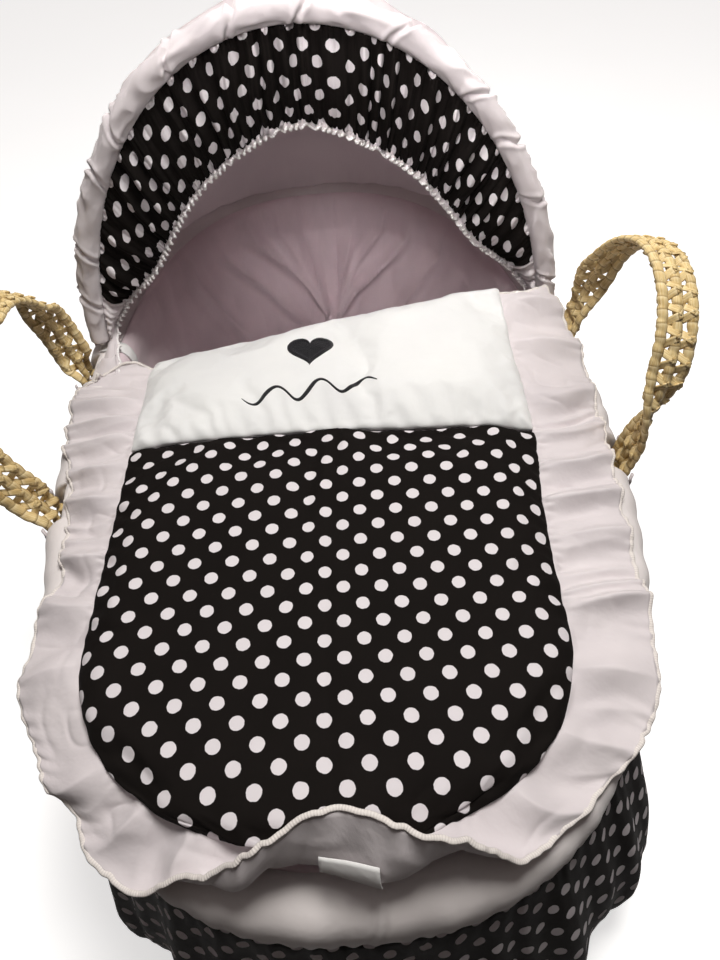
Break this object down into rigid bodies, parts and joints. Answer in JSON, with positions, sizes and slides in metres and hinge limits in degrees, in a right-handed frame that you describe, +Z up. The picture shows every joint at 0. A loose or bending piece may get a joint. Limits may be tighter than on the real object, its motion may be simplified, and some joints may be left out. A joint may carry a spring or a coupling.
{
  "type": "moses basket",
  "caption": "Oval woven baby basket dressed in a padded white liner and a gathered spotted skirt, with strap handles, a folding hood and a quilted coverlet.",
  "frame": {"origin": "middle of the basket's flat underside", "axes": "+Z up, +Y towards the head end, +X to the right seen from the foot"},
  "size_m": [0.5742, 0.876, 0.5409],
  "materials": {
    "straw": "plaited palm leaf, satin",
    "liner_cloth": "padded white polycotton",
    "white_cloth": "plain white polycotton",
    "polka_cloth": "black polycotton with white spots",
    "wadding": "polyester wadding",
    "foam": "foam",
    "black_thread": "embroidery thread, slight sheen",
    "label_tape": "woven label tape, blank",
    "hoop_plastic": "white plastic hoop"
  },
  "bodies": {
    "basket": {"basket_floor": "straw", "basket_wall": "straw", "rim_braid": "straw", "liner_floor": "liner_cloth", "liner_wall": "liner_cloth", "liner_roll": "liner_cloth", "skirt": "polka_cloth", "mattress_foam": "foam", "mattress_cover_base": "white_cloth", "mattress_cover_top": "white_cloth", "hood_tie_left": "white_cloth", "hood_tie_right": "white_cloth", "hood_cover": "white_cloth", "handle_anchor_left_foot": "straw", "handle_lashing_left_foot": "straw", "slot_binding_left_foot": "white_cloth", "handle_anchor_left_head": "straw", "handle_lashing_left_head": "straw", "slot_binding_left_head": "white_cloth", "handle_anchor_right_foot": "straw", "handle_lashing_right_foot": "straw", "slot_binding_right_foot": "white_cloth", "handle_anchor_right_head": "straw", "handle_lashing_right_head": "straw", "slot_binding_right_head": "white_cloth"},
    "handle_left": {"handle_left": "straw"},
    "handle_right": {"handle_right": "straw"},
    "hood": {"hood_hoop": "hoop_plastic", "hood_casing": "white_cloth", "hood_band": "polka_cloth", "hood_wing_left": "white_cloth", "hood_wing_right": "white_cloth", "hood_edge": "white_cloth"},
    "coverlet": {"coverlet_backing": "white_cloth", "coverlet_panel_wadding": "wadding", "coverlet_band_wadding": "wadding", "coverlet_panel": "polka_cloth", "coverlet_band": "white_cloth", "coverlet_frill": "white_cloth", "embroidered_heart": "black_thread", "embroidered_flourish": "black_thread", "care_label": "label_tape"}
  },
  "joints": [
    {"name": "handle_left_swing", "type": "hinge", "parent": "basket", "child": "handle_left", "pos_m": [-0.24, 0.002, 0.237], "axis": [0, -1, 0], "range_deg": [-17, 66]},
    {"name": "handle_right_swing", "type": "hinge", "parent": "basket", "child": "handle_right", "pos_m": [0.24, 0.002, 0.237], "axis": [0, 1, 0], "range_deg": [-22, 61]},
    {"name": "hood_fold", "type": "hinge", "parent": "basket", "child": "hood", "pos_m": [0, 0.114, 0.259], "axis": [-1, 0, 0], "range_deg": [0, 55], "deforming": ["hood_cover"]},
    {"name": "coverlet_lift", "type": "slide", "parent": "basket", "child": "coverlet", "axis": [0, 0, 1], "range_m": [0, 0.35]}
  ]
}
